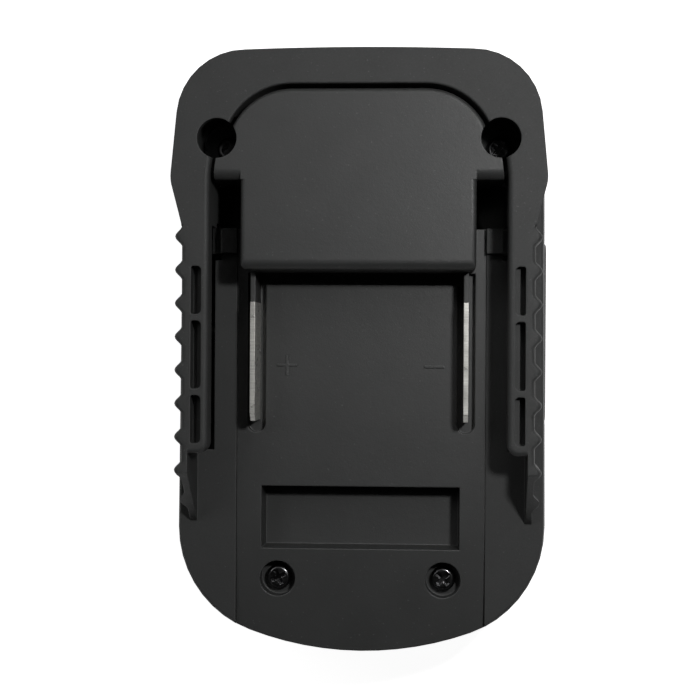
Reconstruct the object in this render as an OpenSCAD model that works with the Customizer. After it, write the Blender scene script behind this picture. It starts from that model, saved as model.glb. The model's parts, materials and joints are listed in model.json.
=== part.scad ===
// Adapter that lets a slide-on battery pack feed a tool made for another slide.
// It lies with the tool side down and the battery side up. Millimetres.

/* [Overall] */
// Length from nose to tail
body_len = 123.6; // [119:0.2:129]
// Width of the lower body near the tail
body_w = 77.2; // [77:0.2:82]
// Height from the tool face to the tops of the rails
body_h = 46; // [43:0.5:50]

/* [Rear shell] */
// Height of the tool slide
slide_h = 12; // [11.5:0.5:14]
// Height of the shell between the slide and the parting line
shell_h = 15; // [14.5:0.5:17]
// Thickness of the side walls
shell_wall = 2.8; // [2.4:0.1:3.2]
// Thickness of the floor above the slide
base_t = 2.5; // [2:0.1:3]
// Radius of the corners at the nose
nose_r = 14; // [11:0.5:16]
// Radius of the long curve across the tail
tail_arc_r = 67; // [60:1:90]
// Radius of the corners at the tail
tail_corner_r = 23.6; // [18:0.2:26]

/* [Tool slide] */
// Width of the slide flange
slide_w = 51; // [50:0.5:54]
// Width of the neck between the grooves
neck_w = 42; // [41:0.5:43]
// Length of the slide
slide_len = 80; // [76:1:84]
// Thickness of the slide flange
slide_flange_t = 4.5; // [4:0.1:5]
// Distance between neighbouring contact slots
slot_pitch = 12; // [11:0.5:13]
// Width of a contact slot
slot_w = 2.4; // [2.2:0.1:3]

/* [Outer frame] */
// Width across the shoulders of the nose band
band_w = 75.4; // [74:0.2:76.4]
// Radius of the corners of the nose band
band_r = 13.8; // [10:0.1:15]
// Width across the arms, between the grip ribs
arm_w = 70.8; // [70:0.2:72]
// Thickness of the arm walls
arm_wall = 1.4; // [1.2:0.1:2.2]
// Clear width between the two rails
rail_gap = 59.8; // [59:0.1:61]
// Thickness of the rails
rail_t = 5; // [4:0.2:6]
// Length of the rails from the pocket to their ends
rail_len = 46; // [43:0.5:47]
// Height of the skirt from the parting line to the floor
skirt_h = 4.5; // [4:0.1:5.5]
// Thickness of the deck
deck_t = 2.5; // [2:0.1:3]
// Number of grip ribs on each arm
rib_count = 9; // [6:1:9]
// Distance between grip ribs
rib_pitch = 6.7; // [6:0.1:6.8]
// Height of a grip rib
rib_h = 1.4; // [0.6:0.1:1.6]
// Width of a grip rib at its foot
rib_w = 3.8; // [2.6:0.1:5]

/* [Terminal plate] */
// Width of the plate
plate_w = 51.6; // [51:0.2:53]
// Width of the raised block
block_w = 47.2; // [46.4:0.2:48]
// Distance from the nose to the face of the raised block
block_from_nose = 44.5; // [43:0.5:46]
// Distance from the nose to the groove around the block
groove_from_nose = 7.7; // [7:0.1:9]
// Width of the groove around the block
groove_w = 0.9; // [0.6:0.1:1.6]
// Width of the latch recess
recess_w = 41.2; // [38:0.2:42]
// Length of the latch recess
recess_len = 13; // [10:0.1:14]
// Depth of the latch recess
recess_depth = 7; // [5:0.2:7.6]

/* [Contacts] */
// Distance between the two blades
blade_pitch = 43.4; // [43:0.1:43.8]
// Length of a blade
blade_len = 24.3; // [20:0.1:26]
// Thickness of a blade
blade_t = 1; // [0.8:0.1:1.2]
// Height of a blade above the floor
blade_h = 8; // [7:0.2:9]
// Diameter of a lead with its insulation
lead_d = 3; // [2.4:0.1:3.2]
// Thickness of the fork metal
fork_t = 0.8; // [0.6:0.1:0.9]

/* [Release buttons] */
// Length of a button
button_len = 38; // [34:0.5:40]
// Height of a button
button_h = 10; // [9:0.2:10]
// Inward travel of a button
button_travel = 3.6; // [3:0.1:3.6]
// Wire thickness of a return spring
spring_wire = 0.7; // [0.5:0.1:0.8]
// Curls in a return spring
spring_curls = 8; // [6:1:9]

/* [Screws] */
// Diameter of the screw shanks
screw_d = 3; // [2.6:0.1:3.2]
// Diameter of the screw heads
screw_head_d = 5.2; // [4.8:0.1:5.6]
// Length of the screws under the head
screw_len = 10; // [9:0.5:10.5]
// Diameter of the two deep holes in the nose
hole_d = 8; // [7:0.2:8.6]
// Distance between the two deep holes
hole_pitch = 56.8; // [56:0.2:57.6]
// Diameter of the two counterbores near the tail
counterbore_d = 7.4; // [6.6:0.1:7.8]

/* [Hidden] */
$fn = 48;

// Clearances and small shared sizes
slide_gap = 0.35;
seam_gap = 0.06;
shaft_gap = 0.05;
seat_gap = 0.3;
screw_gap = 0.2;
sink = 0.5;
cut = 1;
slice_t = 0.02;

// Levels
z_in = slide_h + base_t;
z_part = slide_h + shell_h;
z_floor = z_part + skirt_h;
z_deck = z_floor - deck_t;
plate_drop = 0.3;
z_plate = z_floor - plate_drop;
flange_t = 2.5;
z_flange = z_deck - flange_t;
z_rail = body_h - rail_t;

// Distances from the nose
hole_from_nose = 18.1;
shoulder_from_nose = 25.7;
pocket_from_nose = 26.4;
slide_from_nose = 5.5;
button_from_nose = 56.5;
nose_setback = 0.5;

// Distances from the tail
slope_from_tail = 26.1;
recess_from_tail = 34.9;
low_screw_from_tail = 15.6;

// Lengths along the rails and the blades
pocket_len = 8.9;
pad_len = 5.1;
rib_lead = 2.5;
rail_end_len = 3.8;
ramp_len = 11;
fin_len = 6.2;
blade_end_room = 2.6;

// Places along the length
nose_y = body_len / 2;
tail_y = -body_len / 2;
hole_y = nose_y - hole_from_nose;
shoulder_y = nose_y - shoulder_from_nose;
pocket_y1 = nose_y - pocket_from_nose;
pocket_y0 = pocket_y1 - pocket_len;
pad_y0 = pocket_y0 - pad_len;
pad_h = 1.6;
block_y = nose_y - block_from_nose;
rail_y0 = pocket_y0 - rail_len;
first_rib_y = pocket_y0 - rib_lead;
crease_y = rail_y0 - rail_end_len;
ramp_y0 = crease_y - ramp_len;
slope_y = tail_y + slope_from_tail;
slope_drop = 1.3;
recess_y1 = tail_y + recess_from_tail;
recess_y0 = recess_y1 - recess_len;
low_screw_y = tail_y + low_screw_from_tail;
low_screw_x = 17.2;
blade_y1 = block_y - fin_len;
blade_y0 = blade_y1 - blade_len;
blade_groove_w = 3.8;
blade_groove_y0 = blade_y0 - blade_end_room;
slide_y1 = nose_y - slide_from_nose;
slide_y0 = slide_y1 - slide_len;
button_y = nose_y - button_from_nose;

// Places across the width
hw = body_w / 2;
nose_hw = hw - nose_setback;
valley_x = arm_w / 2;
wall_x = valley_x - arm_wall;
rail_x = rail_gap / 2;
plate_x = plate_w / 2;
block_x = block_w / 2;
blade_x = blade_pitch / 2;
hole_x = hole_pitch / 2;

// Groove around the block: a flat stretch, then an arc on each side into the hole
groove_y = nose_y - groove_from_nose;
groove_flat_x = 13.3;
groove_arc_r = 13.7;
groove_c = [groove_flat_x, groove_y - groove_arc_r];
groove_edge_r = 0.4;

// Slit below each hole: a wide arc that runs out along the rail's inner edge
slit_w = 0.9;
slit_lead = 0.7;
slit_r = rail_x;
slit_c = [0, pocket_y1 - slit_lead];

// Screws
screw_web = 2.5;
bore_wall = 1.2;
low_seat_depth = 4.4;
z_low_seat = z_plate - low_seat_depth;
z_low_boss = z_low_seat - screw_web;
up_seat_depth = 2.5;
z_up_seat = z_part - up_seat_depth;
z_up_boss = z_up_seat - screw_web;
head_h = 1.9;
boss_wall = 2.2;
boss_r = screw_d / 2 + boss_wall;
hole_skin = 2.2;
hole_widen = 1.6;
tube_wall = 1;
tube_r = hole_d / 2 + hole_widen + tube_wall;

// Release buttons: a cap in a window, a flange behind it, an arm and a hook
button_lift = 1.2;
button_z = z_in + button_lift + button_h / 2;
cap_inset = 0.2;
cap_x = hw - cap_inset;
latch_flange_t = 1.6;
latch_room = 0.7;
latch_face_x = hw - shell_wall - latch_room;
latch_back_x = latch_face_x - latch_flange_t;
latch_lip = 1;
hook_w = 8;
hook_t = 2.5;
hook_nose = 0.6;
hook_out = 1;
hook_x = neck_w / 2 + hook_out;
hook_lift = 2;
hook_z0 = slide_flange_t + hook_lift;
arm_t = 2.2;
spring_r = 2.2;
spring_lift = 2.9;
spring_z = z_in + arm_t + spring_lift;
spring_wall_t = 2.2;
spring_wall_x = 16;
spring_pin_r = spring_r - spring_wire / 2 - screw_gap;
spring_pin_len = 3;

// Forks and what holds them
fork_xs = [-slot_pitch, 0, slot_pitch];
core_wall = 2.5;
core_x = neck_w / 2 - core_wall;
core_y1 = slide_y1 - core_wall;
hook_room = 2;
core_y0 = button_y + hook_w / 2 + hook_room;
core_z = 2.2;
fork_lift = 0.4;
fork_z0 = core_z + fork_lift;
fork_h = 7;
fork_len = 19.5;
fork_base_len = 3;
fork_tip_room = 1;
fork_tip_y = core_y1 - fork_tip_room;
fork_base_y0 = fork_tip_y - fork_len;
fork_base_y1 = fork_base_y0 + fork_base_len;
fork_gap = 0.35;
tail_len = 3.3;
tail_rise = 3.5;
tail_top = z_in + tail_rise;
holder_lip = 0.5;
holder_y1 = fork_base_y1 + holder_lip;
holder_back = 1.5;
holder_y0 = fork_base_y0 - tail_len - holder_back;
holder_x = core_x - seat_gap;
holder_h = 9.3;
holder_z1 = core_z + holder_h;
board_t = 1.2;
tap_margin = [3, 2.4];
tap_x = core_x - tap_margin[0];
tap_y = holder_y0 + tap_margin[1];
tap_d = 2;
tap_head_d = 3.6;
tap_head_h = 1.2;
tap_len = 6;
tap_post_d = tap_d + 2 * bore_wall;
tap_post_h = 5;
tap_post_z = core_z + tap_post_h;

// Leads
lead_sides = 8;
lead_rings = 14;
lead_drop = 3.6;
lead_z0 = z_flange - lead_drop;
lead_rim = 0.2;
lead_z1 = tail_top - lead_d / 2 - lead_rim;
tab_setback = 1;
tab_y = block_y - tab_setback;
tab_len = 6;
lead_pull = 7;

// Points along an arc about c, from angle a0 to a1
function arc(c, r, a0, a1, n) = [for (i = [0:n])
    let (a = a0 + (a1 - a0) * i / n) c + r * [cos(a), sin(a)]];

// The same points on the other side of the centre line, in the opposite order
function mirrored(p) = [for (i = [len(p) - 1:-1:0]) [-p[i][0], p[i][1]]];

// Right half of the lower body's outline, drawn in by e, from the nose to near the tail's middle
tail_c = [0, tail_y + tail_arc_r];
corner_dx = hw - tail_corner_r;
corner_dy = sqrt(pow(tail_arc_r - tail_corner_r, 2) - pow(corner_dx, 2));
corner_c = [corner_dx, tail_c[1] - corner_dy];
tail_a = atan2(-corner_dy, corner_dx);
nose_c = [nose_hw - nose_r, nose_y - nose_setback - nose_r];
function lower_half(e) = concat(
    arc(nose_c, nose_r - e, 90, 0, 8),
    arc(corner_c, tail_corner_r - e, 0, tail_a, 9),
    [for (i = [1:5]) tail_c + (tail_arc_r - e) * [cos(tail_a + (-90 - tail_a) * i / 6),
        sin(tail_a + (-90 - tail_a) * i / 6)]]);
function lower_outline(e) = concat(lower_half(e), [[0, tail_y + e]], mirrored(lower_half(e)));

// Right half of the nose band's outline, from the middle of the top edge to the arm
band_bow = 0.4;
band_taper = 1.1;
band_c = [band_w / 2 - band_taper - band_r, nose_y - band_bow - band_r];
bow_r = (pow(band_c[0], 2) + pow(band_bow, 2)) / (2 * band_bow);
bow_a = asin(band_c[0] / bow_r);
taper_a = atan(band_taper / (band_c[1] - shoulder_y));
shoulder_r = 8;
slant_a = 12;
band_ease = [[0.4, 3.9], [0.1, 2.7], [0, 2]];
function band_half() = concat(
    [for (i = [1:3]) [0, nose_y - bow_r] + bow_r * [sin(bow_a * i / 4), cos(bow_a * i / 4)]],
    arc(band_c, band_r, 90, taper_a, 8),
    arc([band_w / 2 - shoulder_r, shoulder_y], shoulder_r, taper_a, -slant_a, 3),
    [for (row = band_ease) [valley_x + row[0], first_rib_y + row[1]]]);

// Outer line of an arm, with its row of rounded ribs
rib_steps = 8;
rib_swell = 1.5;
function rib_x(t) = valley_x + rib_h * pow(max(0, cos(180 * t)), rib_swell);
function arm_line() = concat([[valley_x, arm_y1]],
    [for (i = [0:rib_count - 1], k = [0:rib_steps]) let (t = k / rib_steps - 0.5)
        [rib_x(t), first_rib_y - rib_pitch * i - rib_w * t]],
    [[valley_x, ramp_y0 - cut]]);

// Section of an arm at one point of its outer line: the top edge is rounded, more so away from the band
arm_y1 = pocket_y0 + cut;
arm_edge_r = 1;
arm_edge_start = 0.1;
arm_edge_rise = 0.25;
arm_foot_z = z_floor - slope_drop;
function arm_section(p) =
    let (r = min(arm_edge_r, arm_edge_start + arm_edge_rise * (arm_y1 - p[1])),
        x = p[0] - r, z = body_h - r)
    concat([[wall_x, p[1], arm_foot_z], [p[0], p[1], arm_foot_z]],
        [for (a = [0:30:90]) [x + r * cos(a), p[1], z + r * sin(a)]],
        [[wall_x, p[1], body_h]]);

// A shape on both sides of the centre line
module both_sides() {
    children();
    mirror([1, 0, 0]) children();
}

// A profile drawn in Y and Z, given a thickness along X from x0
module across(x0, t) {
    translate([x0, 0, 0]) rotate([90, 0, 90]) linear_extrude(t) children();
}

// A profile drawn in X and Z, given a length along Y from y0
module along(y0, len) {
    translate([0, y0 + len, 0]) rotate([90, 0, 0]) linear_extrude(len) children();
}

// A solid through sections that each have the same number of points
module loft(sections) {
    last = len(sections) - 1;
    n = len(sections[0]);
    skin = [for (i = [0:last - 1], k = [0:n - 1]) let (a = i * n + k, b = i * n + (k + 1) % n)
        for (f = [[a, a + n, b], [b, a + n, b + n]]) f];
    first_cap = [for (k = [1:n - 2]) [0, k, k + 1]];
    end = last * n;
    last_cap = [for (k = [1:n - 2]) [end, end + k + 1, end + k]];
    polyhedron([for (row = sections) for (p = row) p], concat(skin, first_cap, last_cap));
}

module block_between(a, b) {
    translate(a) cube(b - a);
}

module slice(z, e) {
    translate([0, 0, z]) linear_extrude(slice_t) polygon(lower_outline(e));
}

// Skirt of the frame: it draws in towards the floor
skirt_foot = 0.3;
skirt_lean = 0.35;
skirt_draw = 1.2;
skirt_edge = 0.5;
module skirt() {
    hull() {
        slice(z_part, skirt_foot);
        slice(z_floor - skirt_draw, skirt_foot + skirt_lean);
        slice(z_floor - skirt_edge, skirt_draw - skirt_edge);
        slice(z_floor - slice_t, skirt_draw);
    }
}

// The floor falls away gently towards the tail
module tail_slope(z) {
    across(-body_w, 2 * body_w)
        polygon([[slope_y, z], [tail_y - cut, z - slope_drop], [tail_y - cut, z + cut],
            [slope_y, z + cut]]);
}

// What is cut away to round an edge: the corner is at a point, and the solid lies towards sx and sy
module edge_profile(at, sx, sy, r) {
    translate(at) difference() {
        translate([sx > 0 ? -cut : -r, sy > 0 ? -cut : -r]) square(r + cut);
        translate([sx * r, sy * r]) circle(r);
    }
}

// Rounds the top edge along an arc about c, as far as it lies between two corners of a box;
// the solid lies outside the arc for side 1 and inside it for side -1
module round_edge(c, r, side, edge_r, low, high) {
    intersection() {
        translate(c) rotate_extrude() edge_profile([r, body_h], side, -1, edge_r);
        block_between([low[0], low[1], z_rail], [high[0], high[1], body_h + cut]);
    }
}

// One coring slot in a rail: shallow on the inner side, deep beside the wall
slot_width = 2.1;
slot_short = 9.7;
slot_long = 13.7;
slot_web = 1.25;
slot_margin = 2;
slot_shallow = 2.2;
slot_deep = 4;
slot_floor = 0.8;
slot_r = 1;
slot_deep_r = 0.5;
slot_inset = 4.05;
slot_x = valley_x - slot_inset + slot_width / 2;
module rail_slot(y0, len) {
    depth = min(slot_deep, rail_t - slot_floor);
    translate([slot_x, y0 + len / 2, body_h - slot_shallow]) linear_extrude(slot_shallow + cut)
        rounded_panel(slot_width, len, slot_r);
    translate([slot_x + slot_width / 4, y0 + len / 2, body_h - depth]) linear_extrude(depth + cut)
        rounded_panel(slot_width / 2, len, slot_deep_r);
}

module rail_slots() {
    y0 = rail_y0 + slot_margin;
    rail_slot(y0, slot_short);
    rail_slot(y0 + slot_short + slot_web, slot_long);
    rail_slot(y0 + slot_short + slot_long + 2 * slot_web, slot_short);
}

// Right arm: the ribbed wall, the rail along its top and the ramp at its end
rail_end_r = 2.2;
rail_end_c = [rail_x + rail_end_r, rail_y0 + rail_end_r];
rail_edge_r = 1;
rail_root = 0.2;
module arm() {
    difference() {
        union() {
            loft([for (p = arm_line()) arm_section(p)]);
            translate([0, 0, z_rail]) linear_extrude(rail_t) rail_outline();
        }
        rail_slots();
        across(rail_x - cut, hw - rail_x)
            polygon([[crease_y, body_h], [ramp_y0, z_floor], [ramp_y0 - 2 * cut, z_floor - 2 * cut],
                [ramp_y0 - 2 * cut, body_h + cut], [crease_y, body_h + cut]]);
        across(rail_end_c[0], wall_x - rail_end_c[0])
            edge_profile([rail_y0, body_h], 1, -1, rail_edge_r);
        round_edge(rail_end_c, rail_end_r, -1, rail_edge_r, [rail_x - cut, rail_y0 - cut], rail_end_c);
    }
}

// Rail seen from above, with one rounded corner at its free end
module rail_outline() {
    root_x = wall_x + rail_root;
    square_between([rail_x, rail_end_c[1]], [root_x, arm_y1]);
    square_between([rail_end_c[0], rail_y0], [root_x, arm_y1]);
    translate(rail_end_c) circle(rail_end_r);
}

// Frame: the skirt, the nose band and the arms in one piece, hollow below the deck
pad_room = 0.7;
pad_x = rail_x - pad_room;
nose_skin = 2.3;
nose_core_w = 40;
nose_core_len = 2.6;
module outer_frame() {
    color([0.17, 0.17, 0.165]) {
        difference() {
            union() {
                skirt();
                translate([0, 0, z_part]) linear_extrude(body_h - z_part)
                    polygon(concat([[0, nose_y]], band_half(),
                        [[valley_x, pocket_y0], [-valley_x, pocket_y0]], mirrored(band_half())));
                both_sides() arm();
                both_sides() block_between([plate_x, pad_y0, z_deck],
                    [pad_x, pocket_y0 + cut, z_floor + pad_h]);
            }
            frame_opening();
            translate([0, 0, z_part - cut]) linear_extrude(z_deck - z_part + cut)
                polygon(lower_outline(shell_wall));
            both_sides() {
                deep_hole(z_part - cut);
                seam_edge();
                along(rail_end_c[1], slit_c[1] - rail_end_c[1])
                    edge_profile([rail_x, body_h], 1, -1, rail_edge_r);
                round_edge(slit_c, slit_r, 1, rail_edge_r, [hole_x, slit_c[1]], [hw, hole_y]);
                round_edge(groove_c, groove_arc_r + groove_w / 2, 1, groove_edge_r, groove_c, [hw, nose_y]);
            }
            across(-groove_flat_x, 2 * groove_flat_x)
                edge_profile([groove_y + groove_w / 2, body_h], 1, -1, groove_edge_r);
            tail_slope(z_floor);
            block_between([-nose_core_w / 2, nose_y - nose_skin - nose_core_len, z_part],
                [nose_core_w / 2, nose_y - nose_skin, body_h - nose_skin]);
        }
        both_sides() screw_tube();
    }
}

// The frame's edge along the plate is rounded, on the level and down the tail's slope
seam_edge_r = 0.4;
module seam_edge() {
    edge = [plate_x + seam_gap, 0];
    run = slope_from_tail + cut;
    translate([0, 0, z_floor]) along(slope_y, pad_y0 - slope_y) edge_profile(edge, 1, -1, seam_edge_r);
    translate([0, slope_y, z_floor]) rotate([atan(slope_drop / run), 0, 0])
        along(-run, run) edge_profile(edge, 1, -1, seam_edge_r);
}

// Area inside the line around the block, above y0: e moves the groove's line outward,
// and r is the radius along the slit
module seam_area(e, r, y0) {
    square_between([-groove_flat_x, y0], [groove_flat_x, groove_y + e]);
    both_sides() intersection() {
        translate(groove_c) circle(groove_arc_r + e);
        square_between([0, groove_c[1]], [body_w, nose_y]);
    }
    intersection() {
        translate(slit_c) circle(r);
        square_between([-r, y0], [r, hole_y]);
    }
}

// Space in the frame for the terminal plate, with the pockets beside the block
module frame_opening() {
    translate([0, 0, z_deck - cut]) linear_extrude(body_h) {
        seam_area(groove_w / 2, slit_r, slit_c[1]);
        square_between([-slit_r, pocket_y0], [slit_r, slit_c[1]]);
        square_between([-plate_x - seam_gap, tail_y - cut], [plate_x + seam_gap, pocket_y0 + cut]);
    }
    both_sides() rail_core();
}

// Slot in the deck under each rail, where the mould reached the rail's underside; wider beside the pad
core_lap = 0.6;
core_lead = 1.5;
module rail_core() {
    wide_y0 = pad_y0 - core_lead;
    block_between([rail_x + core_lap, rail_y0, z_deck - cut], [wall_x, wide_y0 + cut, z_floor + cut]);
    block_between([pad_x, wide_y0, z_deck - cut], [wall_x, pocket_y0 + cut, z_floor + pad_h + cut]);
}

module square_between(a, b) {
    translate(a) square(b - a);
}

// Tube under each deep hole, down to the rear shell's boss, with the screw seat in its floor
module screw_tube() {
    translate([hole_x, hole_y, 0]) difference() {
        translate([0, 0, z_up_boss]) cylinder(h = z_floor - z_up_boss, r = tube_r);
        translate([0, 0, z_up_seat]) cylinder(h = body_h, d = hole_d + 2 * hole_widen);
        translate([0, 0, z_up_boss - cut]) cylinder(h = body_h, d = screw_d + 2 * screw_gap);
    }
}

// Deep hole in the nose: it widens below the skin
module deep_hole(z0) {
    translate([hole_x, hole_y, z0]) {
        cylinder(h = body_h - z0 + cut, d = hole_d);
        cylinder(h = body_h - hole_skin - z0, d = hole_d + 2 * hole_widen);
    }
}

// Outline of the block: wings beside the deep holes, and the narrower part that the pack meets
module block_outline() {
    seam_area(-groove_w / 2, slit_r - slit_w, pocket_y1);
    corner_x = block_x - block_corner_r;
    corner_y = block_y + block_corner_r;
    square_between([-block_x, corner_y], [block_x, pocket_y1]);
    square_between([-corner_x, block_y], [corner_x, pocket_y1]);
    both_sides() translate([corner_x, corner_y]) circle(block_corner_r);
}

block_wall = 2.2;
block_corner_r = 1.6;
foot_trench_w = 2.4;
block_edge_r = 2.2;
block_side_r = 1;
block_top_r = 0.9;
recess_wall = 1.6;
recess_draft = 0.3;
recess_z0 = z_plate - recess_depth;
fin_t = 1;
fin_step = 0.5;
module terminal_plate() {
    color([0.16, 0.16, 0.155]) difference() {
        union() {
            intersection() {
                skirt();
                block_between([-plate_x, tail_y - cut, z_deck], [plate_x, pocket_y0, z_plate]);
            }
            raised_block();
            plate_flange();
            both_sides() blade_fin();
            block_between([-recess_w / 2 - recess_wall, recess_y0 - recess_wall, recess_z0 - recess_wall],
                [recess_w / 2 + recess_wall, recess_y1 + recess_wall, z_deck]);
            both_sides() translate([low_screw_x, low_screw_y, z_low_boss])
                cylinder(h = z_deck - z_low_boss, d = counterbore_d + 2 * bore_wall);
        }
        tail_slope(z_plate);
        latch_recess();
        both_sides() {
            blade_groove();
            low_screw_hole();
            foot_trench();
            pocket();
            deep_hole(z_flange - cut);
            translate([hole_x, hole_y, z_flange - cut])
                cylinder(h = z_floor + seat_gap - z_flange + cut, r = tube_r + seat_gap);
        }
        block_core();
    }
}

// The recess where the pack's latch drops in: its walls slope inward to the floor
module latch_recess() {
    hull() {
        recess_slice(z_plate, 0);
        recess_slice(recess_z0, recess_draft);
    }
    recess_slice(z_plate, 0, cut);
}

module recess_slice(z, e, t = slice_t) {
    block_between([e - recess_w / 2, recess_y0 + e, z], [recess_w / 2 - e, recess_y1 - e, z + t]);
}

module raised_block() {
    difference() {
        translate([0, 0, z_flange]) linear_extrude(body_h - z_flange) block_outline();
        across(-body_w, 2 * body_w) edge_profile([block_y, body_h], 1, -1, block_edge_r);
        both_sides() {
            along(block_y - cut, pocket_y1 - block_y + cut)
                edge_profile([block_x, body_h], -1, -1, block_side_r);
            across(block_x, rail_x - block_x)
                edge_profile([pocket_y1, body_h], 1, -1, block_edge_r);
            round_edge(groove_c, groove_arc_r - groove_w / 2, -1, block_top_r, groove_c, [hw, nose_y]);
        }
        across(-groove_flat_x, 2 * groove_flat_x)
            edge_profile([groove_y - groove_w / 2, body_h], -1, -1, block_top_r);
    }
}

// The block is hollow from below
module block_core() {
    wide_x = block_x - block_wall;
    narrow_x = hole_x - tube_r - block_wall;
    translate([0, 0, z_flange - cut]) linear_extrude(body_h - block_wall - z_flange + cut) {
        square_between([-wide_x, block_y + block_wall], [wide_x, pocket_y1 + block_wall]);
        square_between([-narrow_x, pocket_y1], [narrow_x, groove_y - 2 * block_wall]);
    }
}

// Flange that lies under the frame's deck and keeps the plate from lifting out
module plate_flange() {
    side_lap = 2;
    end_lap = 1.5;
    translate([0, 0, z_flange]) linear_extrude(flange_t) intersection() {
        polygon(lower_outline(shell_wall + slide_gap));
        union() {
            square_between([-plate_x - side_lap, tail_y], [plate_x + side_lap, pocket_y0]);
            square_between([-rail_x - end_lap, pad_y0], [rail_x + end_lap, pocket_y1 + end_lap]);
        }
    }
}

// The pockets beside the block go right through the flange
module pocket() {
    block_between([block_x, pocket_y0, z_flange - cut], [rail_x, pocket_y1, z_deck + cut]);
}

// Plastic fin that backs each blade against the block
module blade_fin() {
    block_between([blade_x - fin_t / 2, blade_y1, z_deck - sink],
        [blade_x + fin_t / 2, block_y + sink, z_floor + blade_h - fin_step]);
}

// Round-ended groove around each blade, and the slot that the blade passes through
module blade_groove() {
    groove_r = blade_groove_w / 2;
    translate([blade_x, 0, z_deck]) linear_extrude(z_floor - z_deck + cut) difference() {
        union() {
            translate([0, blade_groove_y0 + groove_r]) circle(groove_r);
            square_between([-groove_r, blade_groove_y0 + groove_r], [groove_r, block_y]);
        }
        square_between([-fin_t / 2, blade_y1], [fin_t / 2, block_y + cut]);
    }
    block_between([blade_x - blade_t / 2, blade_y0, z_flange - cut],
        [blade_x + blade_t / 2, blade_y1, z_deck + cut]);
}

// Trench along the foot of the block, from one blade groove to the other
module foot_trench() {
    trench_y0 = block_y - foot_trench_w;
    block_between([-cut, trench_y0, z_deck], [blade_x - fin_t / 2, block_y, z_floor + cut]);
    block_between([blade_x + fin_t / 2, trench_y0, z_deck], [block_x, block_y, z_floor + cut]);
}

module low_screw_hole() {
    translate([low_screw_x, low_screw_y, 0]) {
        translate([0, 0, z_low_seat]) cylinder(h = body_h, d = counterbore_d);
        translate([0, 0, z_low_boss - cut]) cylinder(h = body_h, d = screw_d + 2 * screw_gap);
    }
}

// Rear shell: a tub with the tool slide under it; heights over the slide and how far it draws in there
shell_curve = [[0, 3], [0.8, 1.8], [2.6, 0.8], [shell_h - 5, 0]];
module rear_shell() {
    color([0.15, 0.15, 0.148]) difference() {
        union() {
            difference() {
                hull() {
                    for (row = shell_curve)
                        slice(slide_h + row[0], row[1]);
                    slice(z_part - slice_t, skirt_foot);
                }
                translate([0, 0, z_in]) linear_extrude(shell_h) polygon(lower_outline(shell_wall));
            }
            slide_body();
            both_sides() {
                shell_boss(hole_x, hole_y, z_up_boss);
                shell_boss(low_screw_x, low_screw_y, z_low_boss);
                spring_wall();
            }
        }
        slide_core();
        contact_slots();
        both_sides() {
            screw_bore(hole_x, hole_y, z_up_seat);
            screw_bore(low_screw_x, low_screw_y, z_low_seat);
            button_window();
            hook_slot();
            translate([tap_x, tap_y, core_z + sink]) cylinder(h = slide_h, d = tap_d + 2 * shaft_gap);
        }
    }
}

module slide_body() {
    lead_in = 2.4;
    linear_extrude(slide_flange_t) polygon([[slide_w / 2, slide_y0], [slide_w / 2, slide_y1 - lead_in],
        [slide_w / 2 - lead_in, slide_y1], [lead_in - slide_w / 2, slide_y1],
        [-slide_w / 2, slide_y1 - lead_in], [-slide_w / 2, slide_y0]]);
    block_between([-neck_w / 2, slide_y0, slide_flange_t - sink], [neck_w / 2, slide_y1, slide_h + sink]);
}

// Hollow of the slide: wide round the forks, narrow behind them, with posts for the holder's screws
module slide_core() {
    difference() {
        block_between([-core_x, core_y0, core_z], [core_x, core_y1, z_in + cut]);
        both_sides() translate([tap_x, tap_y, 0]) cylinder(h = tap_post_z, d = tap_post_d);
    }
    back_x = spring_wall_x - 2 * spring_wall_t;
    block_between([-back_x, slide_y0 + core_wall, core_z], [back_x, core_y0 - core_wall, z_in + cut]);
}

// Slots in the slide's face and nose end, where the tool's blades come in
module contact_slots() {
    for (x = fork_xs)
        block_between([x - slot_w / 2, holder_y1 + slot_w / 2, -cut],
            [x + slot_w / 2, slide_y1 + cut, fork_z0 + fork_h]);
}

module shell_boss(x, y, z1) {
    translate([x, y, z_in - sink]) cylinder(h = z1 - z_in + sink, r = boss_r);
}

module screw_bore(x, y, seat_z) {
    translate([x, y, seat_z - screw_len - sink])
        cylinder(h = screw_len + cut, d = screw_d + 2 * shaft_gap);
}

// Wall that each return spring pushes against, with a pin inside the spring
module spring_wall() {
    wall_r = spring_r + spring_wire + spring_wall_t;
    block_between([spring_wall_x - spring_wall_t, button_y - wall_r, z_in - sink],
        [spring_wall_x, button_y + wall_r, spring_z + spring_r + spring_wire]);
    translate([spring_wall_x - sink, button_y, spring_z]) rotate([0, 90, 0])
        cylinder(h = spring_pin_len + sink, r = spring_pin_r);
}

button_r = 2.5;
module rounded_panel(len, h, r) {
    translate([-len / 2, -h / 2]) {
        square_between([r, 0], [len - r, h]);
        square_between([0, r], [len, h - r]);
        for (x = [r, len - r], y = [r, h - r])
            translate([x, y]) circle(r);
    }
}

module button_window() {
    across(hw - shell_wall - cut, shell_wall + 2 * cut) translate([button_y, button_z])
        rounded_panel(button_len + 2 * slide_gap, button_h + 2 * slide_gap, button_r + slide_gap);
}

// Slot in the floor and notch in the neck, where the hook reaches the slide's groove and draws back
module hook_slot() {
    half_w = hook_w / 2 + slide_gap;
    block_between([hook_x - button_travel - slide_gap, button_y - half_w, hook_z0 - slide_gap],
        [hook_x + hook_t + slide_gap, button_y + half_w, z_in + cut]);
}

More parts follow.
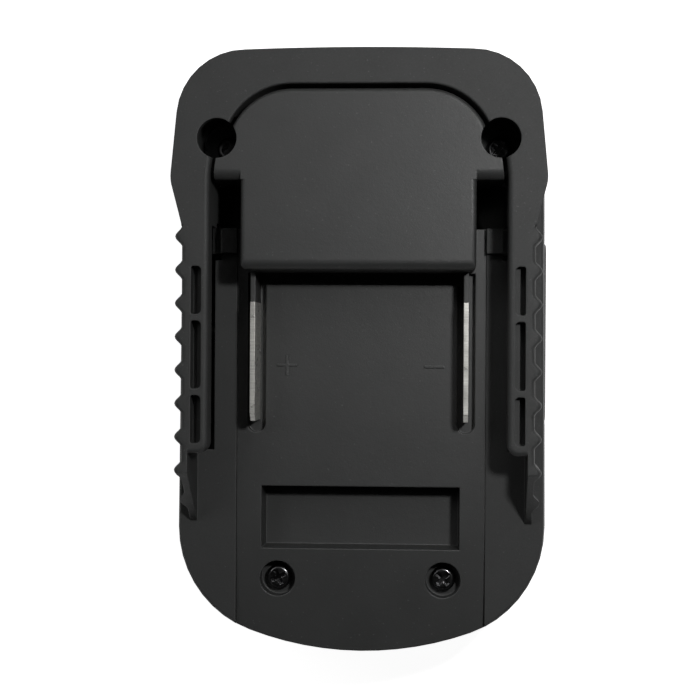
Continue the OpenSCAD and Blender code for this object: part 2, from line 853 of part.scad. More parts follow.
// Right release button, in one piece with its flange, arm and hook
module latch() {
    grip_count = 3;
    grip_r = 0.9;
    grip_margin = 4;
    cap_edge = 0.6;
    difference() {
        union() {
            across(latch_face_x - sink, cap_x - cap_edge - latch_face_x + sink)
                translate([button_y, button_z]) rounded_panel(button_len, button_h, button_r);
            hull() {
                across(cap_x - cap_edge - slice_t, slice_t) translate([button_y, button_z])
                    rounded_panel(button_len, button_h, button_r);
                across(cap_x - slice_t, slice_t) translate([button_y, button_z])
                    rounded_panel(button_len - 2 * cap_edge, button_h - 2 * cap_edge, button_r - cap_edge);
            }
            block_between([latch_back_x, button_y - button_len / 2 - latch_lip, z_in + seat_gap],
                [latch_face_x, button_y + button_len / 2 + latch_lip, button_z + button_h / 2 + sink]);
            block_between([hook_x, button_y - hook_w / 2, z_in + seat_gap],
                [latch_back_x + sink, button_y + hook_w / 2, z_in + arm_t]);
            translate([0, button_y, hook_z0]) linear_extrude(z_in + arm_t - hook_z0) hook_outline();
            translate([latch_back_x - spring_pin_len, button_y, spring_z]) rotate([0, 90, 0])
                cylinder(h = spring_pin_len + sink, r = spring_pin_r);
        }
        for (i = [1:grip_count])
            translate([cap_x + sink, button_y - button_len / 2 + grip_margin,
                button_z + button_h * (i / (grip_count + 1) - 0.5)])
                rotate([-90, 0, 0]) cylinder(h = button_len - 2 * grip_margin, r = grip_r);
    }
}

// Hook seen from above: square behind, sloped in front so that the tool pushes it aside
module hook_outline() {
    polygon([[hook_x, -hook_w / 2], [hook_x + hook_t, -hook_w / 2],
        [hook_x + hook_t, -hook_w / 2 + hook_t], [hook_x + hook_nose, hook_w / 2], [hook_x, hook_w / 2]]);
}

module right_latch() {
    color([0.13, 0.13, 0.13]) latch();
}

module left_latch() {
    color([0.13, 0.13, 0.13]) mirror([1, 0, 0]) latch();
}

// Return spring along X: one tube wound round the two pins
spring_x0 = spring_wall_x + spring_wire / 2;
spring_x1 = latch_back_x - spring_wire / 2;
spring_rings = 8;
spring_sides = 6;
function spring_point(t) = [spring_x0 + (spring_x1 - spring_x0) * t,
    spring_r * cos(360 * spring_curls * t), spring_r * sin(360 * spring_curls * t)];

// A tube of n-sided rings along the points of a path
function unit(v) = v / norm(v);
function heading(p, i) = unit(p[min(i + 1, len(p) - 1)] - p[max(i - 1, 0)]);
module tube(path, r, sides, up, square_ends) {
    last = len(path) - 1;
    loft([for (i = [0:last]) let (
            d = square_ends && (i == 0 || i == last) ? [1, 0, 0] : heading(path, i),
            s = (square_ends && heading(path, i)[0] < 0 && (i == 0 || i == last)) ? -1 : 1,
            u = unit(cross(up, d * s)), v = cross(d * s, u))
        [for (k = [0:sides - 1]) path[i] + r * (u * cos(360 * k / sides) + v * sin(360 * k / sides))]]);
}

module latch_spring() {
    path = [for (i = [0:spring_curls * spring_rings]) spring_point(i / (spring_curls * spring_rings))];
    translate([0, button_y, spring_z]) tube(path, spring_wire / 2, spring_sides, [1, 0, 0], false);
}

module right_latch_spring() {
    color([0.62, 0.62, 0.64]) latch_spring();
}

module left_latch_spring() {
    color([0.62, 0.62, 0.64]) mirror([1, 0, 0]) latch_spring();
}

// Blade contact: the standing blade, a foot under the plate and a tab for the lead
blade_tip = 1.6;
foot_h = 1.6;
foot_lap = 1;
module blade() {
    z1 = z_floor + blade_h;
    z_foot = z_flange - foot_h;
    z_tab = lead_z0 - lead_d / 2 - seat_gap;
    across(blade_x - blade_t / 2, blade_t) polygon([[blade_y0, z_flange], [blade_y0, z1 - blade_tip],
        [blade_y0 + blade_tip, z1], [blade_y1, z1], [blade_y1, z_flange], [tab_y + tab_len / 2, z_flange],
        [tab_y + tab_len / 2, z_tab], [tab_y - tab_len / 2, z_tab], [tab_y - tab_len / 2, z_foot],
        [blade_y0 - foot_lap, z_foot], [blade_y0 - foot_lap, z_flange]]);
}

module negative_blade() {
    color([0.82, 0.81, 0.78]) blade();
}

module positive_blade() {
    color([0.82, 0.81, 0.78]) mirror([1, 0, 0]) blade();
}

// Lead from a blade's tab to the tail of its fork, leaving and arriving square to them
lead_from = [blade_x - blade_t / 2, tab_y, lead_z0];
lead_to = [slot_pitch + fork_t / 2, fork_base_y0 - tail_len / 2, lead_z1];
function bezier(a, b, c, d, t) = a * pow(1 - t, 3) + 3 * b * t * pow(1 - t, 2)
    + 3 * c * pow(t, 2) * (1 - t) + d * pow(t, 3);
module lead() {
    pull = [lead_pull, 0, 0];
    path = [for (i = [0:lead_rings])
        bezier(lead_from, lead_from - pull, lead_to + pull, lead_to, i / lead_rings)];
    tube(path, lead_d / 2, lead_sides, [0, 0, 1], true);
}

module negative_lead() {
    color([0.08, 0.08, 0.08]) lead();
}

module positive_lead() {
    color([0.7, 0.06, 0.05]) mirror([1, 0, 0]) lead();
}

// Fork contact: two sprung fingers that close on the tool's blade, a base and a tail for the lead
fork_room = 0.5;
fork_base_x = fork_t + fork_room;
fork_lip = 4;
module fork() {
    waist_y = fork_tip_y - fork_lip;
    inner_x = fork_base_x - fork_t;
    translate([0, 0, fork_z0]) linear_extrude(fork_h) {
        square_between([-fork_base_x, fork_base_y0], [fork_base_x, fork_base_y1]);
        both_sides() polygon([[inner_x, fork_base_y1 - sink], [fork_base_x, fork_base_y1 - sink],
            [fork_base_x, fork_base_y1], [fork_gap + fork_t, waist_y], [fork_base_x, fork_tip_y],
            [inner_x, fork_tip_y], [fork_gap, waist_y], [inner_x, fork_base_y1]]);
    }
    block_between([-fork_t / 2, fork_base_y0 - tail_len, fork_z0],
        [fork_t / 2, fork_base_y0 + sink, tail_top]);
}

module positive_fork() {
    color([0.72, 0.45, 0.2]) translate([-slot_pitch, 0, 0]) fork();
}

module negative_fork() {
    color([0.72, 0.45, 0.2]) translate([slot_pitch, 0, 0]) fork();
}

module signal_fork() {
    color([0.72, 0.45, 0.2]) fork();
}

// Insulator that stands in the slide's hollow and keeps the forks in line
fork_tail_x = fork_t / 2 + shaft_gap;
fork_tail_y0 = fork_base_y0 - tail_len - shaft_gap;
module fork_holder() {
    socket_x = fork_base_x + shaft_gap;
    color([0.3, 0.3, 0.3]) difference() {
        block_between([-holder_x, holder_y0, core_z], [holder_x, holder_y1, holder_z1]);
        for (x = fork_xs) {
            block_between([x - socket_x, fork_base_y0 - shaft_gap, fork_z0 - shaft_gap],
                [x + socket_x, holder_y1 + cut, holder_z1 + cut]);
            block_between([x - fork_tail_x, fork_tail_y0, fork_z0 - shaft_gap],
                [x + fork_tail_x, fork_base_y1, holder_z1 + cut]);
        }
        both_sides() translate([tap_x, tap_y, 0]) {
            translate([0, 0, core_z - cut])
                cylinder(h = tap_post_z - core_z + cut + shaft_gap, d = tap_post_d + 2 * shaft_gap);
            cylinder(h = body_h, d = tap_d + 2 * screw_gap);
        }
    }
}

module holder_screws() {
    color([0.5, 0.5, 0.52]) both_sides() translate([tap_x, tap_y, holder_z1]) {
        cylinder(h = tap_head_h, d = tap_head_d);
        translate([0, 0, -tap_len]) cylinder(h = tap_len, d = tap_d);
    }
}

// Board with the resistor between the signal contact and the negative contact
board_x0 = -3;
board_rim = 0.6;
board_x1 = min(slot_pitch + fork_tail_x + board_rim, tap_x - tap_head_d / 2 - seat_gap);
resistor = [3.2, 1.6, 0.6];
module id_board() {
    color([0.05, 0.3, 0.15]) difference() {
        block_between([board_x0, fork_tail_y0 - board_rim, holder_z1],
            [board_x1, holder_y1, holder_z1 + board_t]);
        for (x = [0, slot_pitch])
            block_between([x - fork_tail_x, fork_tail_y0, 0],
                [x + fork_tail_x, fork_base_y0 + sink + shaft_gap, body_h]);
    }
}

module id_resistor() {
    color([0.1, 0.1, 0.1]) translate([slot_pitch / 2 - resistor[0] / 2, fork_base_y0 - resistor[1] / 2,
        holder_z1 + board_t]) cube(resistor);
}

// Case screw: domed head with a cross recess, and the shank below it
head_r = 0.9;
cross_len = screw_head_d * 0.6;
cross_w = 0.8;
cross_depth = 1.2;
screw_point = 0.6;
module case_screw(turn) {
    difference() {
        rotate_extrude() polygon(concat([[0, -screw_len], [screw_d / 2 - screw_point, -screw_len],
            [screw_d / 2, screw_point - screw_len], [screw_d / 2, 0], [screw_head_d / 2, 0]],
            [for (a = [0:15:75])
                [screw_head_d / 2 - head_r + head_r * cos(a), head_h - head_r + head_r * sin(a)]],
            [[0, head_h]]));
        for (a = [turn, turn + 90])
            rotate(a) translate([-cross_len / 2, -cross_w / 2, head_h - cross_depth])
                cube([cross_len, cross_w, cross_depth + cut]);
    }
}

module upper_screws() {
    color([0.1, 0.1, 0.1]) {
        translate([-hole_x, hole_y, z_up_seat]) case_screw(15);
        translate([hole_x, hole_y, z_up_seat]) case_screw(60);
    }
}

module lower_screws() {
    color([0.1, 0.1, 0.1]) {
        translate([-low_screw_x, low_screw_y, z_low_seat]) case_screw(25);
        translate([low_screw_x, low_screw_y, z_low_seat]) case_screw(45);
    }
}

outer_frame();
terminal_plate();
rear_shell();
positive_blade();
negative_blade();
positive_lead();
negative_lead();
positive_fork();
negative_fork();
signal_fork();
fork_holder();
holder_screws();
id_board();
id_resistor();
left_latch();
right_latch();
left_latch_spring();
right_latch_spring();
upper_screws();
lower_screws();
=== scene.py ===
"""Looks of the tool battery adapter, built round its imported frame. Metres, in the frame's own axes."""
import json
import math

import bmesh
import bpy
from mathutils import Matrix, Vector


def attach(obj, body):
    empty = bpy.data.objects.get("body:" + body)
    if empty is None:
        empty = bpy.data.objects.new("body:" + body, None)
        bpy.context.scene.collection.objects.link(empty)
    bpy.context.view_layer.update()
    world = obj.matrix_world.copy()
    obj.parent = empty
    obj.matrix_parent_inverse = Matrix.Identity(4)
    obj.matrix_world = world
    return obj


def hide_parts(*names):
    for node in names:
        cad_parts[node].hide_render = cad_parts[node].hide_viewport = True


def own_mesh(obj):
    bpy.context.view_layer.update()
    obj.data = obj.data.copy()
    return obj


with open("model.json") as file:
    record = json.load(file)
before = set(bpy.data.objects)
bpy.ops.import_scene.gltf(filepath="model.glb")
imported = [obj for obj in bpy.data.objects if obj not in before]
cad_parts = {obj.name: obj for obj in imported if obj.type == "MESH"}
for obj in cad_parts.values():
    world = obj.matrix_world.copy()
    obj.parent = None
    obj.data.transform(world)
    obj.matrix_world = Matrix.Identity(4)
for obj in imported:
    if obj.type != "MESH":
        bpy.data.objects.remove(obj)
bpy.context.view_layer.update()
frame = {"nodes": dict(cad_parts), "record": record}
NODES = frame["nodes"]
MM = 0.001
WHITE = (1, 1, 1, 1)
NONE_TO_ALL = (0, 1)


# Shader nodes: each helper adds to a node tree and gives back a socket


def noise(tree, coords, size, detail=3.0, rough=0.5):
    """Noise with features of about that size in metres."""
    n = tree.nodes.new("ShaderNodeTexNoise")
    n.inputs["Scale"].default_value = 1 / size
    n.inputs["Detail"].default_value = detail
    n.inputs["Roughness"].default_value = rough
    tree.links.new(coords, n.inputs["Vector"])
    return n.outputs["Fac"]


def spread(tree, value, source, target):
    """The value carried over from one range to another; each range is a pair."""
    n = tree.nodes.new("ShaderNodeMapRange")
    for key, level in zip(("From Min", "From Max", "To Min", "To Max"), (*source, *target)):
        n.inputs[key].default_value = level
    tree.links.new(value, n.inputs["Value"])
    return n.outputs["Result"]


def calculate(tree, operation, a, b):
    """Two values joined by a Math node; the second is a number or a socket."""
    n = tree.nodes.new("ShaderNodeMath")
    n.operation = operation
    tree.links.new(a, n.inputs[0])
    if isinstance(b, float):
        n.inputs[1].default_value = b
    else:
        tree.links.new(b, n.inputs[1])
    return n.outputs["Value"]


def mix_colour(tree, share, a, b):
    """Colour a where the share is 0, b where it is 1; each is a colour or a socket."""
    n = tree.nodes.new("ShaderNodeMix")
    n.data_type = "RGBA"
    tree.links.new(share, n.inputs["Factor"])
    for key, value in (("A", a), ("B", b)):
        socket = next(s for s in n.inputs if s.name == key and s.type == "RGBA")
        if isinstance(value, tuple):
            socket.default_value = (*value, 1)
        else:
            tree.links.new(value, socket)
    return next(s for s in n.outputs if s.type == "RGBA")


def bump(tree, height, depth, strength, before):
    """The normal before, roughened by a height whose full range is the depth in metres."""
    n = tree.nodes.new("ShaderNodeBump")
    n.inputs["Distance"].default_value = depth
    n.inputs["Strength"].default_value = strength
    tree.links.new(height, n.inputs["Height"])
    tree.links.new(before, n.inputs["Normal"])
    return n.outputs["Normal"]


EDGE_SAMPLES = 8
FLAT_TO_EDGE = (1.0, 0.8)


def soft_edges(tree, radius):
    """(rounded normal, share that is 1 along edges and 0 on flat faces)."""
    bevel = tree.nodes.new("ShaderNodeBevel")
    bevel.samples = EDGE_SAMPLES
    bevel.inputs["Radius"].default_value = radius
    geo = tree.nodes.new("ShaderNodeNewGeometry")
    dot = tree.nodes.new("ShaderNodeVectorMath")
    dot.operation = "DOT_PRODUCT"
    tree.links.new(bevel.outputs["Normal"], dot.inputs[0])
    tree.links.new(geo.outputs["Normal"], dot.inputs[1])
    return bevel.outputs["Normal"], spread(tree, dot.outputs["Value"], FLAT_TO_EDGE, NONE_TO_ALL)


def object_coords(tree):
    return tree.nodes.new("ShaderNodeTexCoord").outputs["Object"]


# Materials


def new_material(name):
    """A material with only its Principled shader and output: (material, node tree, shader)."""
    mat = bpy.data.materials.new(name)
    mat.use_nodes = True
    tree = mat.node_tree
    tree.nodes.clear()
    shader = tree.nodes.new("ShaderNodeBsdfPrincipled")
    out = tree.nodes.new("ShaderNodeOutputMaterial")
    tree.links.new(shader.outputs["BSDF"], out.inputs["Surface"])
    return mat, tree, shader


def tinted(colour, share):
    return tuple(min(1, c * share) for c in colour)


# Where most values of a noise lie
NOISE_MIDDLE = (0.3, 0.7)

# Moulded plastic: tints are shares of the base colour, speck and coarse sizes are in grains
# The last tint is a painted highlight: edges are lightened where light would catch their rounding
DARK_TINT, LIGHT_TINT, SPECK_TINT, EDGE_HIGHLIGHT_TINT = 0.95, 1.05, 2.4, 3.0
BLOTCH_SIZE, BLOTCH_RANGE = 9 * MM, (0.35, 0.65)
SPECK_SIZE, SPECK_RANGE, SPECK_SHARE = 1.6, (0.70, 0.80), (0, 0.6)
# Noise that breaks the painted edge highlight into patches: feature size, range and share
HIGHLIGHT_PATCH_SIZE, HIGHLIGHT_PATCH_RANGE, HIGHLIGHT_PATCH_SHARE = 2.5 * MM, (0.35, 0.7), (0.4, 0.85)
PLASTIC_EDGE = 0.35 * MM
PLASTIC_ROUGH_SWING = 0.06
PLASTIC_SPECULAR = 0.55
FINE_BUMP = 0.6
COARSE_SIZE, COARSE_DEPTH, COARSE_BUMP = 4, 2, 0.35


def plastic(name, colour, rough, grain, depth):
    """Moulded plastic: spark-eroded grain, faint blotches, sparse pale specks and a painted highlight
    along edges.
    """
    mat, tree, shader = new_material(name)
    at = object_coords(tree)
    blotch = spread(tree, noise(tree, at, BLOTCH_SIZE, detail=2), BLOTCH_RANGE, NONE_TO_ALL)
    base = mix_colour(tree, blotch, tinted(colour, DARK_TINT), tinted(colour, LIGHT_TINT))
    dots = spread(tree, noise(tree, at, grain * SPECK_SIZE, detail=1), SPECK_RANGE, SPECK_SHARE)
    base = mix_colour(tree, dots, base, tinted(colour, SPECK_TINT))
    rounded, edge = soft_edges(tree, PLASTIC_EDGE)
    # Painted highlight: edges made lighter in patches, standing in for light caught on rounded edges
    highlight_patches = spread(tree, noise(tree, at, HIGHLIGHT_PATCH_SIZE), HIGHLIGHT_PATCH_RANGE, HIGHLIGHT_PATCH_SHARE)
    base = mix_colour(tree, calculate(tree, "MULTIPLY", edge, highlight_patches), base, tinted(colour, EDGE_HIGHLIGHT_TINT))
    tree.links.new(base, shader.inputs["Base Color"])
    fine = noise(tree, at, grain, detail=2, rough=0.6)
    swing = (rough - PLASTIC_ROUGH_SWING, rough + PLASTIC_ROUGH_SWING)
    tree.links.new(spread(tree, fine, NOISE_MIDDLE, swing), shader.inputs["Roughness"])
    shader.inputs["Specular IOR Level"].default_value = PLASTIC_SPECULAR
    coarse = noise(tree, at, grain * COARSE_SIZE, detail=2)
    normal = bump(tree, coarse, depth * COARSE_DEPTH, COARSE_BUMP, rounded)
    tree.links.new(bump(tree, fine, depth, FINE_BUMP, normal), shader.inputs["Normal"])
    return mat


# Metal: along the streaks the noise has this share of its scale across them
STREAK_STRETCH = 0.08
DULL_TINT = 0.72
PATCH_SIZE = 3 * MM
METAL_EDGE = 0.2 * MM
METAL_SMOOTHER, METAL_ROUGHER = 0.08, 0.1
STREAK_BUMP = 0.5


def metal(name, colour, rough, streak_axis, streak, depth, metallic):
    """Plated or drawn metal: fine streaks across one axis, with dull patches."""
    mat, tree, shader = new_material(name)
    at = object_coords(tree)
    stretch = tree.nodes.new("ShaderNodeMapping")
    stretch.inputs["Scale"].default_value = tuple(
        1.0 if i == streak_axis else STREAK_STRETCH for i in range(3))
    tree.links.new(at, stretch.inputs["Vector"])
    lines = noise(tree, stretch.outputs["Vector"], streak, rough=0.65)
    share = spread(tree, lines, NOISE_MIDDLE, NONE_TO_ALL)
    base = mix_colour(tree, share, tinted(colour, DULL_TINT), colour)
    tree.links.new(base, shader.inputs["Base Color"])
    swing = (rough - METAL_SMOOTHER, rough + METAL_ROUGHER)
    patches = spread(tree, noise(tree, at, PATCH_SIZE), NOISE_MIDDLE, swing)
    tree.links.new(patches, shader.inputs["Roughness"])
    shader.inputs["Metallic"].default_value = metallic
    rounded, _ = soft_edges(tree, METAL_EDGE)
    tree.links.new(bump(tree, lines, depth, STREAK_BUMP, rounded), shader.inputs["Normal"])
    return mat


# Skin of a lead, the board or the resistor
DUST_KEEP, DUST_ADD = 0.9, 0.03
DUST_RANGE, DUST_SHARE = (0.4, 0.75), (0, 0.6)
COATED_EDGE = 0.15 * MM
COATED_SMOOTHER, COATED_ROUGHER = 0.05, 0.08
RIPPLE_BUMP = 0.4


def coated(name, colour, rough, grain, depth, coat):
    """Insulation, solder mask or lacquer: an even skin with a soft ripple and faint dust."""
    mat, tree, shader = new_material(name)
    at = object_coords(tree)
    dusty = tuple(c * DUST_KEEP + DUST_ADD for c in colour)
    wave = noise(tree, at, grain, detail=2)
    base = mix_colour(tree, spread(tree, wave, DUST_RANGE, DUST_SHARE), colour, dusty)
    tree.links.new(base, shader.inputs["Base Color"])
    swing = (rough - COATED_SMOOTHER, rough + COATED_ROUGHER)
    tree.links.new(spread(tree, wave, NOISE_MIDDLE, swing), shader.inputs["Roughness"])
    shader.inputs["Coat Weight"].default_value = coat
    rounded, _ = soft_edges(tree, COATED_EDGE)
    tree.links.new(bump(tree, wave, depth, RIPPLE_BUMP, rounded), shader.inputs["Normal"])
    return mat


# Slot: colour, roughness, grain size and grain depth
PLASTICS = {
    "frame_plastic": ((0.036, 0.037, 0.0365), 0.63, 0.34 * MM, 0.018 * MM),
    "plate_plastic": ((0.041, 0.042, 0.0415), 0.48, 0.36 * MM, 0.022 * MM),
    "shell_plastic": ((0.036, 0.036, 0.0355), 0.45, 0.35 * MM, 0.006 * MM),
    "button_plastic": ((0.028, 0.028, 0.028), 0.46, 0.30 * MM, 0.008 * MM),
    "holder_plastic": ((0.085, 0.085, 0.085), 0.5, 0.30 * MM, 0.008 * MM),
}
# Slot: colour, roughness, axis across the streaks, streak width, streak depth and metallic share
METALS = {
    "blade_metal": ((0.86, 0.85, 0.80), 0.32, 1, 0.35 * MM, 0.012 * MM, 0.6),
    "fork_metal": ((0.72, 0.42, 0.18), 0.35, 2, 0.3 * MM, 0.01 * MM, 1.0),
    "zinc_steel": ((0.55, 0.55, 0.57), 0.35, 2, 0.3 * MM, 0.01 * MM, 1.0),
    "spring_steel": ((0.55, 0.55, 0.57), 0.3, 0, 0.2 * MM, 0.006 * MM, 1.0),
    "black_steel": ((0.20, 0.20, 0.205), 0.18, 2, 0.5 * MM, 0.004 * MM, 1.0),
}
# Slot: colour, roughness, ripple size, ripple depth and share of clear coat
SKINS = {
    "red_insulation": ((0.42, 0.012, 0.01), 0.5, 0.8 * MM, 0.02 * MM, 0.0),
    "black_insulation": ((0.012, 0.012, 0.012), 0.5, 0.8 * MM, 0.02 * MM, 0.0),
    "board": ((0.006, 0.075, 0.028), 0.3, 0.5 * MM, 0.006 * MM, 0.3),
    "resistor": ((0.012, 0.012, 0.013), 0.35, 0.3 * MM, 0.006 * MM, 0.2),
}
MATERIALS = {slot: make(slot, *row)
             for make, rows in ((plastic, PLASTICS), (metal, METALS), (coated, SKINS))
             for slot, row in rows.items()}
SLOT_OF = {row["node"]: row["material_slot"] for row in frame["record"]["subparts"]}


# CAD nodes: the frame's own meshes with smooth curves and finished materials

SMOOTH_ANGLE = math.radians(33)
WELD_DISTANCE = 0.002 * MM
NORMAL_WEIGHT = 60


def smooth_faces(obj):
    """Curved faces shade as one, and edges sharper than the angle stay edges."""
    weld = obj.modifiers.new("weld", "WELD")
    weld.merge_threshold = WELD_DISTANCE
    split = obj.modifiers.new("split", "EDGE_SPLIT")
    split.split_angle = SMOOTH_ANGLE
    split.use_edge_sharp = False
    normal = obj.modifiers.new("normal", "WEIGHTED_NORMAL")
    normal.keep_sharp = False
    normal.weight = NORMAL_WEIGHT


for node, obj in NODES.items():
    obj.data.materials.clear()
    obj.data.materials.append(MATERIALS[SLOT_OF[node]])
    smooth_faces(obj)


# New pieces


def add_piece(name, bm, slot):
    """The mesh as a piece on the housing, in its slot's material."""
    bmesh.ops.recalc_face_normals(bm, faces=bm.faces)
    mesh = bpy.data.meshes.new(name)
    bm.to_mesh(mesh)
    bm.free()
    obj = bpy.data.objects.new(name, mesh)
    bpy.context.scene.collection.objects.link(obj)
    obj.data.materials.append(MATERIALS[slot])
    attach(obj, "housing")
    return obj


def skin_rings(bm, rings):
    """Faces from each ring of points to the next, with a cap at both ends."""
    for a, b in zip(rings, rings[1:]):
        for k in range(len(a)):
            bm.faces.new((a[k], a[k - 1], b[k - 1], b[k]))
    bm.faces.new(rings[0])
    bm.faces.new(rings[-1])


# Latch springs: the same coils as the CAD nodes, wound to each node's present length

SPRING_WALL_X = 16 * MM
SPRING_WIRE = 0.7 * MM
SPRING_CURLS = 8
SPRING_RINGS = 24
SPRING_SIDES = 10


def coil_spring(node, side):
    """A wire wound along X from the spring wall to the latch, as far as the node reaches."""
    points = [v.co for v in NODES[node].data.vertices]
    low, high = (Vector(pick(p[i] for p in points) for i in range(3)) for pick in (min, max))
    middle = (low + high) / 2
    reach = max(p.x * side for p in points)
    wire_r = SPRING_WIRE / 2
    coil_r = (high.z - low.z - SPRING_WIRE) / 2
    start, stop = SPRING_WALL_X + wire_r, reach - wire_r
    steps = SPRING_CURLS * SPRING_RINGS
    along = Vector((1, 0, 0))
    round_wire = [math.tau * k / SPRING_SIDES for k in range(SPRING_SIDES)]
    bm = bmesh.new()
    rings = []
    for i in range(steps + 1):
        angle = math.tau * SPRING_CURLS * i / steps
        outward = Vector((0, math.cos(angle), math.sin(angle)))
        x = side * (start + (stop - start) * i / steps)
        centre = Vector((x, middle.y, middle.z)) + outward * coil_r
        rings.append([bm.verts.new(centre + wire_r * (outward * math.cos(a) + along * math.sin(a)))
                      for a in round_wire])
    skin_rings(bm, rings)
    obj = add_piece(node + "_coil", bm, "spring_steel")
    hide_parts(node)
    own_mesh(obj)


coil_spring("left_latch_spring", -1)
coil_spring("right_latch_spring", 1)


# Tail strip: closes the slit between the plate's tail edge and the frame below it

PLATE_FOOT_Z = 29 * MM
LEVEL_TOLERANCE = 0.01 * MM
STRIP_LOW_Z = 28.02 * MM
STRIP_TOP_Z = 28.98 * MM
STRIP_INSET = 0.12 * MM
STRIP_DEPTH = 1.2 * MM
STRIP_HALF_WIDTH = 25.9 * MM
TAIL_Y = -45 * MM
METRE_DIGITS = 6


def turns_left(a, b, c):
    """Whether the way from a over b to c bends to the left."""
    return (b[0] - a[0]) * (c[1] - a[1]) - (b[1] - a[1]) * (c[0] - a[0]) > 0


def tail_outline():
    """Outer points of the plate's underside at the tail, from left to right."""
    found = {(round(v.co.x, METRE_DIGITS), round(v.co.y, METRE_DIGITS))
             for v in NODES["terminal_plate"].data.vertices
             if abs(v.co.z - PLATE_FOOT_Z) < LEVEL_TOLERANCE and v.co.y < TAIL_Y
             and abs(v.co.x) < STRIP_HALF_WIDTH}
    outer = []
    for point in sorted(found):
        while len(outer) > 1 and not turns_left(outer[-2], outer[-1], point):
            outer.pop()
        outer.append(point)
    return outer


def tail_strip():
    """A bar of rectangular section along the tail outline."""
    front, back = STRIP_INSET, STRIP_INSET + STRIP_DEPTH
    section = ((front, STRIP_LOW_Z), (front, STRIP_TOP_Z), (back, STRIP_TOP_Z), (back, STRIP_LOW_Z))
    bm = bmesh.new()
    skin_rings(bm, [[bm.verts.new((x, y + inset, z)) for inset, z in section]
                    for x, y in tail_outline()])
    add_piece("tail_strip", bm, "plate_plastic")


tail_strip()


# Polarity marks: raised strokes on the plate's floor

PLATE_Z = 31.2 * MM
MARK_SINK = 0.05 * MM
MARK_HEIGHT = 0.2 * MM
MARK_DRAFT = 0.08 * MM
MARK_CROWN = 0.6
ARM = 2.1 * MM
STROKE = 0.26 * MM
PLUS_AT = (-15.4 * MM, -1.8 * MM)
MINUS_AT = (15.2 * MM, -2.0 * MM)
PLUS = [(STROKE, STROKE), (ARM, STROKE), (ARM, -STROKE), (STROKE, -STROKE),
        (STROKE, -ARM), (-STROKE, -ARM), (-STROKE, -STROKE), (-ARM, -STROKE),
        (-ARM, STROKE), (-STROKE, STROKE), (-STROKE, ARM), (STROKE, ARM)]
MINUS = [(ARM, STROKE), (ARM, -STROKE), (-ARM, -STROKE), (-ARM, STROKE)]


def raised_mark(name, centre, outline):
    """A raised sign on the plate: the outline at its foot, drawn in and crowned at its top."""
    bm = bmesh.new()
    foot_z = PLATE_Z - MARK_SINK
    foot = [bm.verts.new((centre[0] + x, centre[1] + y, foot_z)) for x, y in outline]
    top = bmesh.ops.extrude_face_region(bm, geom=[bm.faces.new(foot)])["geom"]
    for v in top:
        if isinstance(v, bmesh.types.BMVert):
            v.co.z += MARK_HEIGHT + MARK_SINK
    cap = next(f for f in top if isinstance(f, bmesh.types.BMFace))
    bmesh.ops.inset_region(bm, faces=[cap], thickness=MARK_DRAFT, depth=MARK_DRAFT * MARK_CROWN,
                           use_even_offset=True)
    add_piece(name, bm, "plate_plastic")


raised_mark("plus_mark", PLUS_AT, PLUS)
raised_mark("minus_mark", MINUS_AT, MINUS)


# Floor and light

FLOOR_HALF = 3.0
FLOOR_COLOUR = (0.86, 0.86, 0.86, 1)
FLOOR_ROUGHNESS = 0.9
FLOOR_GLOW = 0.95
WORLD_LEVEL = 0.008
LIGHT_TARGET = (0, 0, 0.03)
# Name, place, length of a side and watts
LIGHTS = (
    ("key", (0.10, 0.07, 0.30), 0.025, 0.335),
    ("side", (0.20, 0.20, 0.25), 0.16, 0.05),
    ("left", (-0.30, 0.20, 0.45), 0.25, 0.36),
    ("nose", (0.0, 0.30, 0.40), 0.30, 0.10),
    ("front", (0.03, 0.16, 0.20), 0.05, 0.03),
)


def seen_share(tree):
    """1 for what the camera sees directly, in a reflection or through glass, and 0 for other rays."""
    path = tree.nodes.new("ShaderNodeLightPath")
    total = path.outputs["Is Camera Ray"]
    for key in ("Is Glossy Ray", "Is Transmission Ray"):
        total = calculate(tree, "MAXIMUM", total, path.outputs[key])
    return total


def pale_floor():
    """A wide floor that looks white and still takes the object's shadow."""
    mesh = bpy.data.meshes.new("floor")
    corners = [(x * FLOOR_HALF, y * FLOOR_HALF, 0) for x, y in ((-1, -1), (1, -1), (1, 1), (-1, 1))]
    mesh.from_pydata(corners, [], [(0, 1, 2, 3)])
    obj = bpy.data.objects.new("floor", mesh)
    bpy.context.scene.collection.objects.link(obj)
    mat, tree, shader = new_material("floor")
    shader.inputs["Base Color"].default_value = FLOOR_COLOUR
    shader.inputs["Roughness"].default_value = FLOOR_ROUGHNESS
    shader.inputs["Emission Color"].default_value = WHITE
    glow = calculate(tree, "MULTIPLY", seen_share(tree), FLOOR_GLOW)
    tree.links.new(glow, shader.inputs["Emission Strength"])
    obj.data.materials.append(mat)


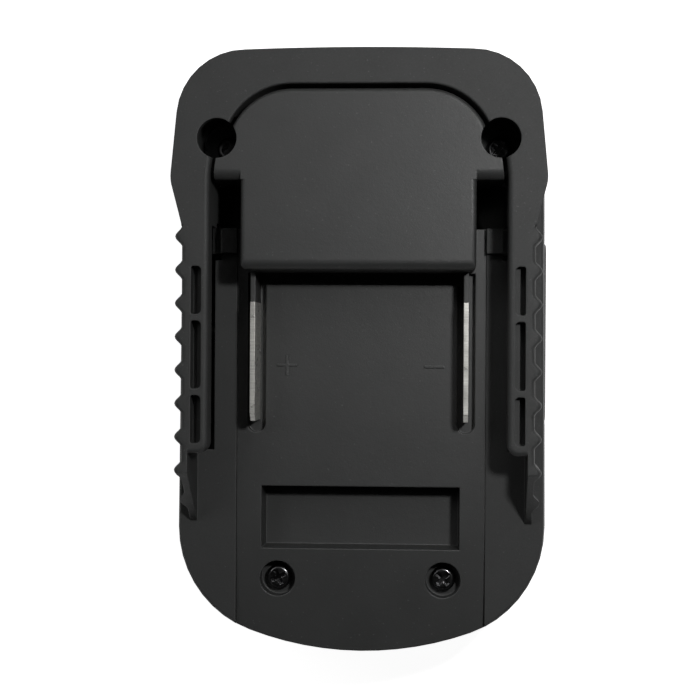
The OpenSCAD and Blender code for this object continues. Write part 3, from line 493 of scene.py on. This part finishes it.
def world_light():
    """White to the camera, and a faint even light on the object."""
    world = bpy.data.worlds.new("studio")
    bpy.context.scene.world = world
    world.use_nodes = True
    tree = world.node_tree
    tree.nodes.clear()
    sky = tree.nodes.new("ShaderNodeBackground")
    sky.inputs["Color"].default_value = WHITE
    out = tree.nodes.new("ShaderNodeOutputWorld")
    tree.links.new(sky.outputs["Background"], out.inputs["Surface"])
    path = tree.nodes.new("ShaderNodeLightPath")
    level = spread(tree, path.outputs["Is Camera Ray"], NONE_TO_ALL, (WORLD_LEVEL, 1.0))
    tree.links.new(level, sky.inputs["Strength"])


def soft_box(name, place, side, power):
    light = bpy.data.lights.new(name, "AREA")
    light.shape = "RECTANGLE"
    light.size = light.size_y = side
    light.energy = power
    obj = bpy.data.objects.new(name, light)
    bpy.context.scene.collection.objects.link(obj)
    obj.location = Vector(place)
    obj.rotation_euler = (Vector(LIGHT_TARGET) - Vector(place)).to_track_quat("-Z", "Y").to_euler()


pale_floor()
world_light()
for row in LIGHTS:
    soft_box(*row)


# Camera: it looks down on the battery side, from a little to the right

TOP_Z = 46 * MM
PIXELS_PER_MM = 5.03
IMAGE_PIXELS = 700
IMAGE_CENTRE = (-1.4 * MM, 1.4 * MM)
CAMERA_HEIGHT = 350 * MM
CAMERA_FOOT = (20 * MM, 1 * MM)
CAMERA_ROLL = math.radians(0.35)
SENSOR_WIDTH = 36
CLIP_START, CLIP_END = 0.01, 20

camera = bpy.data.cameras.new("camera")
camera.sensor_width = SENSOR_WIDTH
camera.lens = PIXELS_PER_MM * CAMERA_HEIGHT / MM * SENSOR_WIDTH / IMAGE_PIXELS
camera.clip_start, camera.clip_end = CLIP_START, CLIP_END
eye = bpy.data.objects.new("camera", camera)
bpy.context.scene.collection.objects.link(eye)
eye.location = (*CAMERA_FOOT, TOP_Z + CAMERA_HEIGHT)
backward = (eye.location - Vector((*IMAGE_CENTRE, TOP_Z))).normalized()
level_right = Vector((0, 1, 0)).cross(backward).normalized()
right = Matrix.Rotation(CAMERA_ROLL, 3, backward) @ level_right
eye.rotation_euler = Matrix((right, backward.cross(right), backward)).transposed().to_euler()
bpy.context.scene.camera = eye

bpy.context.scene.view_settings.view_transform = "Standard"

bpy.context.view_layer.update()
